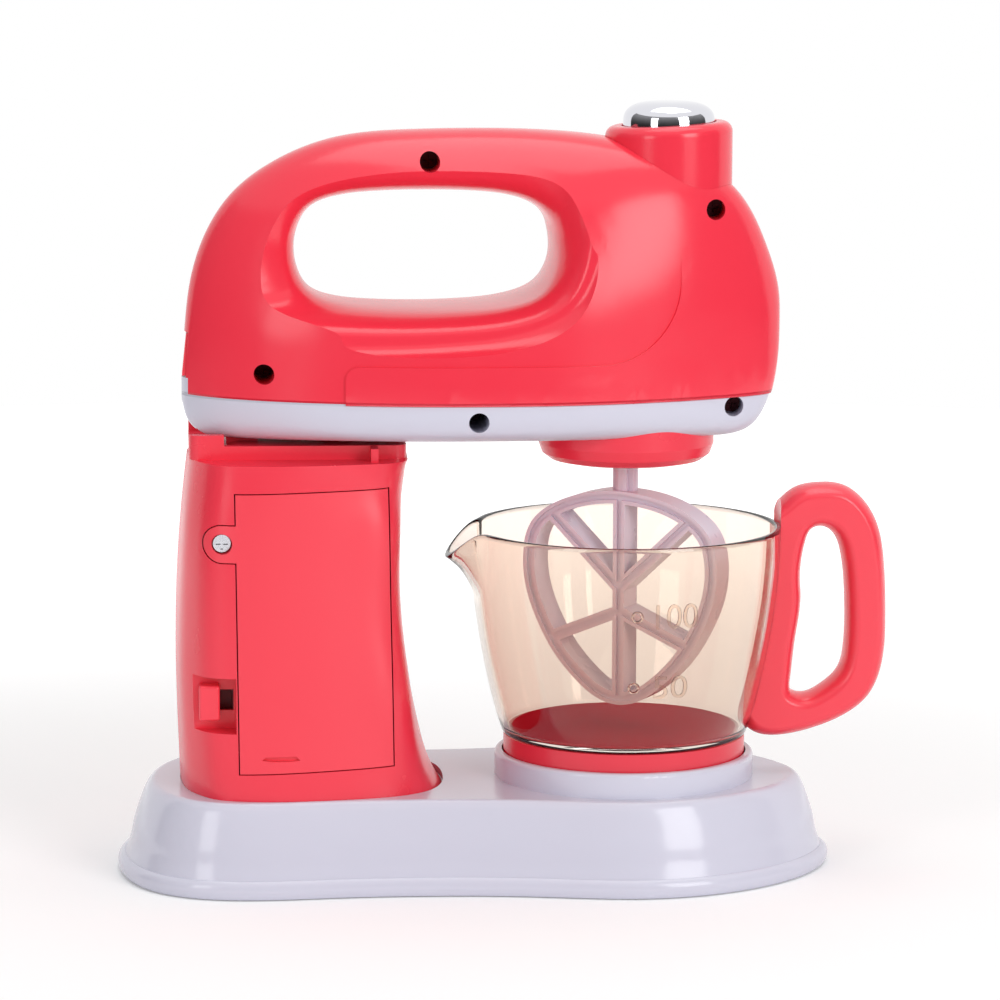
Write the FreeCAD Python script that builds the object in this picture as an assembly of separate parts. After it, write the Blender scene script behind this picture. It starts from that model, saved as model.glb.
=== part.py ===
import FreeCAD, Part
import math
import os
from FreeCAD import Vector

os.makedirs("parts", exist_ok=True)

# Sizes in millimetres. X runs from the column towards the bowl, +Y away from the battery door, Z up from the table.
wall = 2.0
mix_x = 31.5
base_top = 22.8
column_foot = 20.9
column_top = 105.3
seam_z = 120.3
hinge_x = -69.5
hinge_z = 117.5
hinge_pin_r = 1.5
running_gap = 0.05
hand_left = -50.8
hand_right = 11.6
hand_bottom = 142.2
hand_top = 170.4
collar_x = 41.6
collar_r = 15.8
button_r = 11.4
button_travel = 1.8
seat_r = 32.6
seat_top = 29.0
foot_r = 30.4
foot_bottom = 24.0
foot_top = 33.4
rim_z = 86.1
bowl_wall = 1.4
beater_depth = 8.0
beater_turn = -30.0
screw_hole_r = 2.5
gear_module = 0.65
output_teeth = 36
small_teeth = 12
large_teeth = 28
pinion_teeth = 10

door_corners = [(-66.8, 98.6), (-28.8, 99.2), (-27.6, 30.2), (-66.0, 29.3)]
door_tab = (-69.8, 86.2, 4.8)
pocket = (-77.6, -66.5, 39.5, 53.2)
pocket_floor = -21.0
cell_y = -16.0
cell_foot = 39.8
cell_length = 48.6
cell_low = 33.3
cell_high = 94.7
base_screws_at = [(-86.0, 0.0), (-4.0, 25.0), (-4.0, -25.0), (74.0, 0.0)]
column_screws_at = [(-70.0, 17.0), (-70.0, -17.0), (-30.0, 13.0), (-30.0, -13.0)]
head_screws_at = [(-18.5, 178.2), (-59.2, 126.8), (51.8, 166.3)]
skirt_screws_at = [(-7.3, 115.9), (56.8, 117.6)]

neck_top = 108.7
cheek_top = 111.4
plate_x = (3.0, 46.0)

small_axis_x = mix_x - gear_module * (output_teeth + small_teeth) / 2
motor_x = small_axis_x + gear_module * (large_teeth + pinion_teeth) / 2

# Head stations: x, half width, bottom, height of the widest line, top, squareness of the upper part
head_stations = [
    (-79.2, 1.0, 118.6, 122.8, 127.0, 2.0),
    (-78.7, 3.0, 116.4, 122.8, 132.5, 2.0),
    (-77.2, 5.6, 112.9, 123.0, 146.7, 2.1),
    (-74.0, 9.2, 110.6, 123.6, 157.8, 2.2),
    (-68.0, 14.0, 109.9, 124.0, 168.0, 2.2),
    (-58.0, 19.6, 109.8, 124.0, 176.4, 2.2),
    (-42.0, 25.2, 109.8, 124.0, 183.1, 2.2),
    (-22.0, 29.0, 109.8, 124.0, 185.2, 2.2),
    (0.0, 29.6, 109.8, 124.0, 185.4, 2.2),
    (20.0, 27.6, 109.8, 124.0, 184.2, 2.7),
    (36.0, 23.4, 109.8, 124.0, 181.2, 3.5),
    (48.0, 18.8, 109.8, 124.5, 177.0, 4.0),
    (57.0, 14.2, 110.0, 126.0, 171.7, 3.6),
    (63.0, 10.4, 112.6, 129.0, 163.6, 2.9),
    (67.0, 6.6, 120.0, 133.0, 154.0, 2.3),
    (68.7, 3.6, 129.0, 137.0, 147.5, 2.0),
    (69.2, 1.2, 134.5, 139.0, 143.5, 2.0),
]

# How far the hand hole opens out at each distance from the middle plane: left, right, down, up
hand_flare = [
    (0.0, 0.0, 0.0, 0.0, 0.0),
    (8.0, 0.7, 0.3, 0.1, 0.5),
    (12.0, 2.5, 0.7, 0.3, 1.6),
    (16.0, 8.5, 1.5, 0.7, 4.5),
    (20.0, 18.0, 3.6, 1.8, 10.0),
    (25.0, 27.0, 8.0, 5.0, 18.0),
    (31.0, 36.0, 15.0, 11.0, 26.0),
]

# Near half of the base's outline on the table, rear end to bowl end
base_half = [
    (-95.8, 0.0),
    (-95.0, -9.5),
    (-92.3, -19.0),
    (-87.0, -28.0),
    (-78.5, -34.6),
    (-62.0, -38.2),
    (-42.0, -36.8),
    (-20.0, -36.2),
    (0.0, -37.6),
    (16.0, -40.4),
    (31.0, -42.3),
    (47.0, -40.0),
    (61.0, -33.4),
    (73.5, -22.5),
    (81.0, -10.5),
    (83.5, 0.0),
]

# Column outline as fractions of its length and half depth, at the foot and higher up
column_foot_shape = [
    (0.0, 0.0),
    (0.012, 0.3),
    (0.035, 0.53),
    (0.075, 0.71),
    (0.14, 0.89),
    (0.25, 0.975),
    (0.37, 1.0),
    (0.5, 0.985),
    (0.62, 0.945),
    (0.755, 0.88),
    (0.85, 0.79),
    (0.925, 0.65),
    (0.98, 0.4),
    (1.0, 0.0),
]
column_upper_shape = [
    (0.0, 0.0),
    (0.01, 0.3),
    (0.03, 0.53),
    (0.07, 0.71),
    (0.135, 0.89),
    (0.24, 0.975),
    (0.37, 1.0),
    (0.5, 0.985),
    (0.65, 0.95),
    (0.8, 0.9),
    (0.9, 0.85),
    (0.965, 0.75),
    (0.995, 0.45),
    (1.0, 0.0),
]

# Column levels: height, rear x, front x, half depth, how far the outline has turned into the upper one
column_levels = [
    (20.9, -80.1, -14.5, 30.4, 0.0),
    (26.0, -80.3, -17.4, 30.3, 0.2),
    (36.6, -80.7, -20.6, 30.1, 0.6),
    (47.0, -81.0, -22.7, 29.8, 1.0),
    (60.0, -81.1, -24.5, 29.3, 1.0),
    (77.0, -80.6, -25.6, 28.7, 1.0),
    (92.0, -79.5, -25.3, 28.2, 1.0),
    (105.3, -78.0, -23.6, 27.7, 1.0),
]

# Beater rim: height and distance from its axis, top to bottom
beater_half = [
    (95.0, 0.0),
    (93.9, 9.5),
    (90.6, 18.4),
    (85.6, 24.2),
    (77.5, 26.5),
    (68.5, 25.6),
    (60.0, 22.2),
    (52.3, 17.4),
    (46.1, 11.4),
    (42.2, 5.7),
    (40.9, 0.0),
]

# Bowl outside: radius and height
bowl_profile = [(31.0, 34.6), (32.6, 39.5), (34.7, 48.0), (36.5, 57.0), (38.0, 67.0), (38.8, 77.0), (39.0, rim_z)]

handle_outer = [
    (66.0, 87.6),
    (70.6, 91.4),
    (74.6, 94.6),
    (80.5, 95.8),
    (86.7, 95.0),
    (91.3, 91.4),
    (94.6, 85.6),
    (96.4, 76.0),
    (97.0, 62.0),
    (96.2, 50.5),
    (92.8, 42.4),
    (86.8, 37.6),
    (79.6, 34.6),
    (72.4, 32.9),
    (65.4, 33.2),
    (61.0, 38.0),
]
handle_inner = [
    (76.4, 82.0),
    (78.0, 85.2),
    (80.8, 86.0),
    (84.2, 84.2),
    (86.6, 78.6),
    (87.8, 67.0),
    (87.7, 55.0),
    (86.0, 48.3),
    (81.8, 44.3),
    (76.6, 42.2),
    (73.4, 43.4),
    (73.0, 47.4),
    (74.1, 57.0),
    (75.3, 70.0),
]


def box(x0, x1, y0, y1, z0, z1):
    return Part.makeBox(x1 - x0, y1 - y0, z1 - z0, Vector(x0, y0, z0))


def rod_z(x, y, z0, z1, r):
    return Part.makeCylinder(r, z1 - z0, Vector(x, y, z0), Vector(0, 0, 1))


def rod_y(x, z, y0, y1, r):
    return Part.makeCylinder(r, y1 - y0, Vector(x, y0, z), Vector(0, 1, 0))


def rod_x(y, z, x0, x1, r):
    return Part.makeCylinder(r, x1 - x0, Vector(x0, y, z), Vector(1, 0, 0))


def closed_curve(points):
    curve = Part.BSplineCurve()
    curve.interpolate([Vector(*p) for p in points], PeriodicFlag=True)
    return Part.Wire(curve.toShape())


def polygon(points):
    corners = [Vector(*p) for p in points]
    return Part.makePolygon(corners + [corners[0]])


def loft(wires, ruled=False):
    return Part.makeLoft(wires, True, ruled)


def prism_y(wire, y0, y1):
    face = Part.Face(wire)
    return face.extrude(Vector(0, y1 - y0, 0))


def revolved(profile, x, y):
    face = Part.Face(polygon([(r, 0, z) for r, z in profile]))
    solid = face.revolve(Vector(0, 0, 0), Vector(0, 0, 1), 360)
    solid.translate(Vector(x, y, 0))
    return solid


def join(shapes):
    return shapes[0].multiFuse(shapes[1:]).removeSplitter()


def save(name, shape):
    solids = shape.Solids
    if not solids or not shape.isValid():
        print("check", name, len(solids), shape.isValid())
    print(name, len(solids), round(shape.Volume))
    result = solids[0] if len(solids) == 1 else Part.makeCompound(solids)
    result.exportStep("parts/" + name + ".step")


def mirrored(half):
    return half + [(x, -y) for x, y in half[-2:0:-1]]


def moved_in(points, distance, end_stretch=1.0):
    """Moves each point of a closed outline inwards along its own normal."""
    count = len(points)
    out = []
    for i, (x, y) in enumerate(points):
        before = points[i - 1]
        after = points[(i + 1) % count]
        dx = after[0] - before[0]
        dy = after[1] - before[1]
        length = math.hypot(dx, dy)
        out.append((x - dy / length * distance * end_stretch, y + dx / length * distance))
    return out


def base_loop(inset, z):
    return closed_curve([(x, y, z) for x, y in moved_in(mirrored(base_half), inset, 1.35)])


def column_loop(level, inset=0.0, z=None):
    height, rear, front, depth, blend = level
    half = []
    for (u0, v0), (u1, v1) in zip(column_foot_shape, column_upper_shape):
        u = u0 + (u1 - u0) * blend
        v = v0 + (v1 - v0) * blend
        half.append((rear + (front - rear) * u, -depth * v))
    shifted = moved_in(mirrored(half), inset)
    return closed_curve([(x, y, height if z is None else z) for x, y in shifted])


def head_loop(station, inset=0.0):
    x, half_width, bottom, widest, top, square = station
    half_width -= inset
    bottom += inset
    top -= inset
    low_square = 5.5
    half = [(bottom, 0.0)]
    for k in range(1, 7):
        a = math.pi / 2 * k / 6
        drop = max(math.cos(a), 0.0) ** (2 / low_square)
        half.append((widest - (widest - bottom) * drop, half_width * math.sin(a) ** (2 / low_square)))
    for k in range(1, 9):
        a = math.pi / 2 * k / 8
        reach = max(math.cos(a), 0.0) ** (2 / square)
        half.append((widest + (top - widest) * math.sin(a) ** (2 / square), half_width * reach))
    return closed_curve([(x, y, z) for z, y in mirrored(half)])


def hand_loop(y, left, right, bottom, top):
    middle_x = (left + right) / 2
    middle_z = (bottom + top) / 2
    points = []
    for k in range(16):
        a = 2 * math.pi * (k + 0.5) / 16
        px = math.copysign(abs(math.cos(a)) ** (2 / 3.4), math.cos(a))
        pz = math.copysign(abs(math.sin(a)) ** (2 / 3.4), math.sin(a))
        points.append((middle_x + (right - left) / 2 * px, y, middle_z + (top - bottom) / 2 * pz))
    return closed_curve(points)


def hand_hole(grow=0.0):
    """Near half of the hand hole, opening out like a bell mouth."""
    wires = []
    rows = [(-y, left, right, low, high) for y, left, right, low, high in hand_flare[::-1]]
    for y, left, right, low, high in rows + [(1.0, 0.0, 0.0, 0.0, 0.0)]:
        wires.append(
            hand_loop(
                y,
                hand_left - left - grow,
                hand_right + right + grow,
                hand_bottom - low - grow,
                hand_top + high + grow,
            )
        )
    return loft(wires)


def head_outside():
    return loft([head_loop(s) for s in head_stations])


def head_inside(inset):
    return loft([head_loop(s, inset) for s in head_stations[2:-2]])


def base_outside():
    lip = loft([base_loop(i, z) for z, i in ((0.0, 0.5), (1.0, 0.05), (3.2, 0.05), (4.5, 1.1))])
    sides = ((2.0, 1.1), (6.0, 1.75), (11.0, 2.65), (16.0, 3.75), (20.0, 4.9), (21.8, 5.7), (22.6, 6.4), (22.8, 7.3))
    dome = loft([base_loop(i, z) for z, i in sides])
    return lip.fuse(dome)


def base_inside():
    sides = ((-0.5, 3.2), (6.0, 3.9), (16.0, 5.9), (20.6, 8.6))
    return loft([base_loop(i, z) for z, i in sides])


def base_shell():
    outside = base_outside()
    shell = outside.cut(base_inside())
    floor = loft([column_loop(column_levels[0], -1.2, z) for z in (18.4, 22.0)]).common(outside)
    seat = rod_z(mix_x, 0, 20.7, seat_top, seat_r)
    seat = seat.makeFillet(1.0, [e for e in seat.Edges if abs(e.BoundBox.ZMin - seat_top) < 0.01])
    shell = shell.multiFuse([floor, seat])
    shell = shell.cut(rod_z(mix_x, 0, foot_bottom, seat_top + 1, foot_r + 0.4))
    shell = shell.cut(rod_z(mix_x, 0, 10, foot_bottom - wall, foot_r - 1.6))
    pocket_tool = loft([column_loop(column_levels[0], -0.15, z) for z in (column_foot, 30.0)])
    shell = shell.cut(pocket_tool)
    shell = shell.cut(box(-60, -36, -12, 12, 10, 30))
    bosses = [rod_z(x, y, 2.0, 22.5, 3.2).common(outside) for x, y in base_screws_at]
    shell = shell.multiFuse(bosses)
    holes = [rod_z(x, y, 0, 12, 1.1) for x, y in base_screws_at]
    holes += [rod_z(x, y, 10, 30, 1.6) for x, y in column_screws_at]
    return shell.cut(Part.makeCompound(holes))


def base_plate():
    plate = loft([base_loop(3.6, 0.0), base_loop(3.6, 2.0)], True)
    holes = []
    for x, y in base_screws_at:
        holes.append(rod_z(x, y, -1, 3, 1.5))
        holes.append(rod_z(x, y, -1, 1.0, 2.9))
    plate = plate.cut(Part.makeCompound(holes))
    ribs = [box(-30 + 22 * k, -28.8 + 22 * k, -24, 24, 2.0, 4.5) for k in (0, 3)]
    ribs += [box(-60, 60, y - 0.6, y + 0.6, 2.0, 4.5) for y in (-12.0, 12.0)]
    return join([plate] + ribs)


def pan_screw(x, y, z, length, head_r, head_h, shank_r):
    """Screw driven upwards, its head's underside at z."""
    head = rod_z(x, y, z - head_h, z, head_r)
    shank = rod_z(x, y, z, z + length, shank_r)
    cross = box(x - 1.4, x + 1.4, y - 0.3, y + 0.3, z - head_h, z - head_h + 0.7)
    other = box(x - 0.3, x + 0.3, y - 1.4, y + 1.4, z - head_h, z - head_h + 0.7)
    return head.fuse(shank).cut(cross).cut(other)


def base_screws():
    return Part.makeCompound([pan_screw(x, y, 1.0, 8.0, 2.6, 0.9, 1.05) for x, y in base_screws_at])


def column_screws():
    return Part.makeCompound([pan_screw(x, y, 18.4, 11.0, 2.6, 1.6, 1.05) for x, y in column_screws_at])


def door_panel_form(gap):
    (x0, z0), (x1, z1), (x2, z2), (x3, z3) = door_corners
    corners = [
        (x0 + gap, -45, z0 - gap),
        (x1 - gap, -45, z1 - gap),
        (x2 - gap, -45, z2 + gap),
        (x3 + gap, -45, z3 + gap),
    ]
    return prism_y(polygon(corners), -45, -5)


def door_tab_forms(gap, back):
    """Round tab beside the door and the neck that joins them."""
    tab_x, tab_z, tab_r = door_tab
    r = tab_r - gap
    edge = door_corners[0][0] + 1.5
    return [rod_y(tab_x, tab_z, -45, back, r), box(tab_x, edge, -45, back, tab_z - r, tab_z + r)]


def column_outside():
    return loft([column_loop(level) for level in column_levels])


def column_inside():
    return loft([column_loop(level, wall) for level in column_levels])


def column_shells(outside, inside):
    cavity = inside.common(box(-90, 0, -40, 40, column_foot + wall, column_top - wall))
    shell = outside.cut(cavity)
    shell = shell.cut(box(-58, -38, -10, 10, 10, 30))
    bosses = [rod_z(x, y, 22.0, 32.0, 3.4) for x, y in column_screws_at]
    x0, x1, z0, z1 = pocket
    pocket_walls = box(x0 - 3, x1 + 1.3, -40, pocket_floor + 1.6, z0 - 1.6, z1 + 1.6).common(outside)
    tab_x, tab_z, tab_r = door_tab
    tab_wall = rod_y(tab_x, tab_z, -40, -15.5, tab_r + 1.2).common(outside)
    shell = shell.multiFuse(bosses + [pocket_walls, tab_wall])
    shell = cut_each(shell, door_tab_forms(0.0, -21.5) + [door_panel_form(0.0)])
    shell = shell.cut(box(x0, x1, -45, pocket_floor, z0, z1))
    shell = shell.cut(box(x0 + 2.6, x1 - 0.6, -45, 0, 44.0, 49.2))
    cuts = [rod_z(x, y, 10, 30, 1.05) for x, y in column_screws_at]
    cuts.append(rod_y(tab_x, tab_z, -30, -10, 1.1))
    shell = shell.cut(Part.makeCompound(cuts))
    near = shell.common(box(-90, 0, -45, 0, 0, 120))
    far = shell.common(box(-90, 0, 0, 45, 0, 120))
    return near, far


def battery_door(outside, inside):
    skin = outside.cut(inside)
    door = skin.common(door_panel_form(0.3))
    for form in door_tab_forms(0.3, -21.8):
        door = door.fuse(form.common(outside))
    tab_x, tab_z, tab_r = door_tab
    door = door.cut(rod_y(tab_x, tab_z, -45, -23.6, 2.5))
    door = door.cut(rod_y(tab_x, tab_z, -45, -10, 1.45))
    slot = [(-60.4, 33.1), (-58.0, 32.75), (-53.2, 32.75), (-51.0, 33.0), (-52.0, 34.0), (-59.4, 33.9)]
    groove = prism_y(polygon([(x, -45, z) for x, z in slot]), -45, -29.0)
    return door.cut(groove)


def door_screw():
    tab_x, tab_z, tab_r = door_tab
    head = rod_y(tab_x, tab_z, -25.2, -23.6, 2.15)
    shank = rod_y(tab_x, tab_z, -23.6, -15.6, 1.05)
    cross = box(tab_x - 1.5, tab_x + 1.5, -25.5, -24.5, tab_z - 0.3, tab_z + 0.3)
    other = box(tab_x - 0.3, tab_x + 0.3, -25.5, -24.5, tab_z - 1.5, tab_z + 1.5)
    return head.fuse(shank).cut(cross).cut(other)


def battery_tray():
    tray = box(-63.6, -31.3, -20.8, -7.6, 32.0, 96.0)
    tray = tray.cut(box(-62.5, -32.3, -30, -8.9, cell_low, cell_high))
    divider = box(-48.0, -46.9, -20.8, -8.9, cell_low, cell_high).cut(box(-50, -40, -30, -12, 40, 88))
    ribs = []
    for x in (-61.5, -35.0):
        ribs.append(box(x, x + 1.2, -20, -9, column_foot + wall, 32.0))
        ribs.append(box(x, x + 1.2, -20, -9, 96.0, column_top - wall))
    return join([tray, divider] + ribs)


def battery_cells():
    cells = []
    for x, cap_up in ((-39.5, True), (-55.4, False)):
        body = rod_z(x, cell_y, cell_foot, cell_foot + cell_length, 6.9)
        cap_z = cell_foot + cell_length if cap_up else cell_foot - 1.3
        cells.append(body.fuse(rod_z(x, cell_y, cap_z, cap_z + 1.3, 2.6)))
    return Part.makeCompound(cells)


def battery_contacts():
    """A cone spring on each cell's flat end, a plate with a button on its capped end."""
    pieces = []
    top = cell_foot + cell_length
    for x, cap_up in ((-39.5, True), (-55.4, False)):
        if cap_up:
            cone = Part.makeCone(4.2, 2.8, cell_foot - cell_low, Vector(x, cell_y, cell_low), Vector(0, 0, 1))
            plate = box(x - 5, x + 5, -20.5, -10.5, cell_high - 0.6, cell_high)
            button = rod_z(x, cell_y, top + 1.3, cell_high - 0.6, 1.6)
        else:
            cone = Part.makeCone(2.8, 4.2, cell_high - top, Vector(x, cell_y, top), Vector(0, 0, 1))
            plate = box(x - 5, x + 5, -20.5, -10.5, cell_low, cell_low + 0.6)
            button = rod_z(x, cell_y, cell_low + 0.6, cell_foot - 1.3, 1.6)
        pieces += [cone.cut(rod_z(x, cell_y, 30, 100, 2.2)), plate.fuse(button)]
    return Part.makeCompound(pieces)


def switch_knob():
    knob = box(-75.6, -70.5, -25.6, pocket_floor - 0.3, 42.2, 50.9)
    knob = knob.makeFillet(0.7, [e for e in knob.Edges if e.BoundBox.YMax < -25 or e.BoundBox.YLength > 1])
    stem = box(-74.4, -71.7, pocket_floor - 0.5, -17.4, 44.6, 48.6)
    return join([knob, stem])


def slide_switch():
    body = box(-75.4, -65.4, pocket_floor + 1.6, -13.4, 41.0, 52.2)
    return body.cut(box(-74.8, -67.4, -20, -17.0, 43.6, 49.6))


def neck_block():
    block = box(-77.6, -24.2, -15.7, 15.7, column_top, cheek_top)
    block = block.makeFillet(3.0, [e for e in block.Edges if e.BoundBox.ZLength > 3])
    between = box(-90.0, -20.0, -13.2, 13.2, neck_top, cheek_top + 1)
    front = box(-69.0, -20.0, -20.0, 20.0, neck_top, cheek_top + 1)
    scoop = rod_y(hinge_x, hinge_z, -12.8, 12.8, 9.5)
    block = cut_each(block, [between, front, scoop])
    ribs = [box(-33.2, -31.4, y0, y1, column_top, neck_top - 0.1) for y0, y1 in ((-21.5, -15.0), (15.0, 21.5))]
    eye = rod_y(hinge_x, hinge_z, -5.0, 5.0, 4.6)
    stem = box(hinge_x + 1.2, hinge_x + 9.0, -5.0, 5.0, 107.0, hinge_z)
    latch = box(-44.0, -38.0, -4.0, 4.0, neck_top, 112.4)
    block = join([block, eye, stem, latch] + ribs)
    return block.cut(rod_y(hinge_x, hinge_z, -10, 10, hinge_pin_r + 0.01))


def hinge_pin():
    return rod_y(hinge_x, hinge_z, -9.2, 9.2, hinge_pin_r)


def near_half(shape):
    return shape.common(box(-100, 90, -45, 0, 90, 200))


def head_skin(outside):
    """Near half of the hollow head, open at the hand hole, before it is parted at the seam."""
    solid = near_half(outside).cut(hand_hole())
    cavity = near_half(head_inside(wall)).cut(hand_hole(wall))
    return solid, solid.cut(cavity)


def tongue_box():
    return box(-90.0, -70.0, -5.0, 5.0, seam_z - 1.0, 124.3)


def screw_post(solid, x, z):
    return rod_y(x, z, -28, 0, 3.7).common(solid)


def red_half(solid, skin):
    shell = skin.common(box(-100, 90, -45, 0, seam_z, 200)).cut(tongue_box())
    for x, z in head_screws_at:
        shell = shell.fuse(screw_post(solid, x, z))
    cuts = [rod_z(collar_x, 0, 170.1, 200.0, collar_r + 0.1), box(-90.0, -73.5, -4.2, 4.2, 124.3, 135.6)]
    return cut_each(shell, cuts)


def white_half(solid, skin):
    shell = skin.common(box(-100, 90, -45, 0, 90, seam_z))
    shell = shell.fuse(skin.common(tongue_box()))
    for x, z in skirt_screws_at:
        shell = shell.fuse(screw_post(solid, x, z).common(box(-100, 90, -45, 0, 90, seam_z)))
    boss = rod_y(hinge_x, hinge_z, -12, -5.6, 4.0).common(box(-100, 90, -45, 0, 90, seam_z)).common(solid)
    shell = shell.fuse(boss)
    cuts = [
        rod_y(hinge_x, hinge_z, -9.5, 9.5, hinge_pin_r + running_gap),
        box(-75.6, -59.2, -5.7, 5.7, 100.0, 113.5),
        box(-47.0, -35.0, -5.0, 5.0, 100.0, 113.0),
        rod_z(mix_x, 0, 100.0, 113.0, 9.1),
    ]
    return cut_each(shell, cuts)


def screw_bores(places, near):
    if near:
        return [rod_y(x, z, -45, -6.0, screw_hole_r) for x, z in places] + [
            rod_y(x, z, -7.0, 1.0, 1.15) for x, z in places
        ]
    return [rod_y(x, z, -1.0, 5.0, 1.05) for x, z in places]


def cut_each(shape, tools):
    for tool in tools:
        shape = shape.cut(tool)
    return shape


def far_of(half):
    return half.mirror(Vector(0, 0, 0), Vector(0, 1, 0))


def shell_screws(places):
    pieces = []
    for x, z in places:
        head = rod_y(x, z, -7.6, -6.0, 2.2)
        shank = rod_y(x, z, -6.0, 4.5, 1.05)
        cross = box(x - 1.4, x + 1.4, -7.7, -6.9, z - 0.3, z + 0.3)
        other = box(x - 0.3, x + 0.3, -7.7, -6.9, z - 1.4, z + 1.4)
        pieces.append(head.fuse(shank).cut(cross).cut(other))
    return Part.makeCompound(pieces)


def button_collar():
    tube = rod_z(collar_x, 0, 170.2, 196.0, collar_r)
    slope = box(-40, 40, -40, 40, 0, 30)
    slope.rotate(Vector(0, 0, 0), Vector(0, 1, 0), -3.0)
    slope.translate(Vector(collar_x, 0, 186.6))
    tube = tube.cut(slope)
    tube = tube.makeFillet(2.6, [e for e in tube.Edges if e.BoundBox.ZMin > 180])
    tube = tube.cut(rod_z(collar_x, 0, 176.0, 200.0, button_r + 0.4))
    tube = tube.cut(rod_z(collar_x, 0, 160.0, 173.8, collar_r - 2.0))
    return tube.cut(rod_z(collar_x, 0, 160.0, 200.0, 3.3))


def chrome_button():
    top = 192.1
    profile = [
        (0.0, top),
        (5.0, top - 0.05),
        (8.2, top - 0.45),
        (9.8, top - 1.3),
        (10.9, top - 2.8),
        (button_r, top - 4.8),
        (button_r, 179.6),
        (button_r - 1.4, 179.6),
        (button_r - 1.4, top - 5.0),
        (8.6, top - 2.2),
        (3.0, top - 2.0),
        (3.0, 172.0),
        (0.0, 172.0),
    ]
    return revolved(profile, collar_x, 0)


def coil(length, radius, half_wire, turns):
    """Spring of square wire standing on the origin."""
    pitch = (length - 2 * half_wire) / turns
    helix = Part.Wire(Part.makeHelix(pitch, pitch * turns, radius))
    inner = radius - half_wire
    outer = radius + half_wire
    corners = [(inner, 0, -half_wire), (outer, 0, -half_wire), (outer, 0, half_wire), (inner, 0, half_wire)]
    spring = helix.makePipeShell([polygon(corners)], True, True)
    spring.translate(Vector(0, 0, half_wire))
    return spring


def button_spring():
    spring = coil(189.8 - 176.0, 4.6, 0.4, 4)
    spring.translate(Vector(collar_x, 0, 176.0))
    return spring


def push_switch():
    body = box(collar_x - 4, collar_x + 4, -4, 4, 160.0, 168.0)
    legs = [box(collar_x + x, collar_x + x + 2, -3, 3, 161.0, 173.8) for x in (-6, 4)]
    return join([body, rod_z(collar_x, 0, 168.0, 170.0, 1.8)] + legs)


def release_button():
    face = [(-78.0, 135.2), (-79.1, 124.8), (-75.2, 124.8), (-75.2, 135.2)]
    pad = prism_y(polygon([(x, -3.9, z) for x, z in face]), -3.9, 3.9)
    rod = rod_x(0, 130.0, -75.4, -64.7, 1.6)
    flange = rod_x(0, 130.0, -65.9, -64.7, 2.6)
    return join([pad, rod, flange])


def release_guide():
    rib = box(-67.5, -65.9, -20.0, 20.0, 124.0, 136.0).common(head_inside(wall))
    return rib.cut(rod_x(0, 130.0, -70, -60, 1.7))


def release_spring():
    spring = coil(75.2 - 69.5, 2.4, 0.3, 4)
    spring.rotate(Vector(0, 0, 0), Vector(0, 1, 0), 90)
    spring.translate(Vector(-75.2, 0, 130.0))
    return spring


def gear(teeth, x, z0, z1, bore, turn=0.0):
    """Involute gear, one tooth pointing along the given angle."""
    pitch_r = gear_module * teeth / 2
    base_r = pitch_r * math.cos(math.radians(20))
    root_r = pitch_r - 1.2 * gear_module
    tip_r = pitch_r + 0.9 * gear_module
    half_pitch = math.pi / (2 * teeth) - 0.035 / pitch_r

    def half_angle(r):
        lean = math.acos(min(1.0, base_r / r))
        return half_pitch + math.tan(math.radians(20)) - math.radians(20) - (math.tan(lean) - lean)

    radii = [root_r, pitch_r, tip_r]
    points = []
    for k in range(teeth):
        middle = turn + 2 * math.pi * k / teeth
        for r in radii:
            points.append((r, middle - half_angle(r)))
        for r in reversed(radii):
            points.append((r, middle + half_angle(r)))
    outline = polygon([(x + r * math.cos(a), r * math.sin(a), z0) for r, a in points])
    blank = Part.Face(outline).extrude(Vector(0, 0, z1 - z0))
    return blank.cut(rod_z(x, 0, z0 - 1, z1 + 1, bore)) if bore else blank


def output_gear():
    hub = rod_z(mix_x, 0, 114.5, 116.0, 6.0)
    return join([gear(output_teeth, mix_x, 115.4, 119.0, 0, math.pi), hub]).cut(rod_z(mix_x, 0, 110, 120, 3.5))


def spindle():
    shaft = rod_z(mix_x, 0, 103.2, 119.3, 3.5)
    head = rod_z(mix_x, 0, 103.2, 111.9, 4.4)
    return join([shaft, head]).cut(rod_z(mix_x, 0, 100, 111.4, 3.2))


def compound_gear():
    small = gear(small_teeth, small_axis_x, 114.5, 119.9, 0, math.pi / small_teeth)
    large = gear(large_teeth, small_axis_x, 119.9, 123.0, 0, 0.0)
    pin = rod_z(small_axis_x, 0, 112.6, 126.0, 1.5)
    return join([small, large, pin])


def motor_pinion():
    wheel = gear(pinion_teeth, motor_x, 120.0, 123.6, 0, math.pi + math.pi / pinion_teeth)
    shaft = rod_z(motor_x, 0, 119.9, 130.0, 1.0)
    return join([wheel, shaft])


def plate_blank(z0, z1):
    return box(plate_x[0], plate_x[1], -11.5, 11.5, z0, z1)


def gear_plate_lower():
    plate = plate_blank(111.0, 114.4).common(head_inside(wall))
    plate = plate.cut(rod_z(mix_x, 0, 110, 112.6, 9.6))
    for x, y in ((5.4, 8.6), (5.4, -8.6), (43.2, 9.6), (43.2, -9.6)):
        plate = plate.fuse(rod_z(x, y, 114.0, 124.4, 1.8))
    plate = plate.cut(rod_z(mix_x, 0, 110, 116, 3.5 + running_gap))
    return plate.cut(rod_z(small_axis_x, 0, 112.6, 116, 1.5 + running_gap))


def gear_plate_upper():
    plate = plate_blank(124.4, 126.2)
    plate = plate.cut(rod_z(motor_x, 0, 120, 130, 3.1))
    return plate.cut(rod_z(small_axis_x, 0, 120, 130, 1.5 + running_gap))


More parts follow.
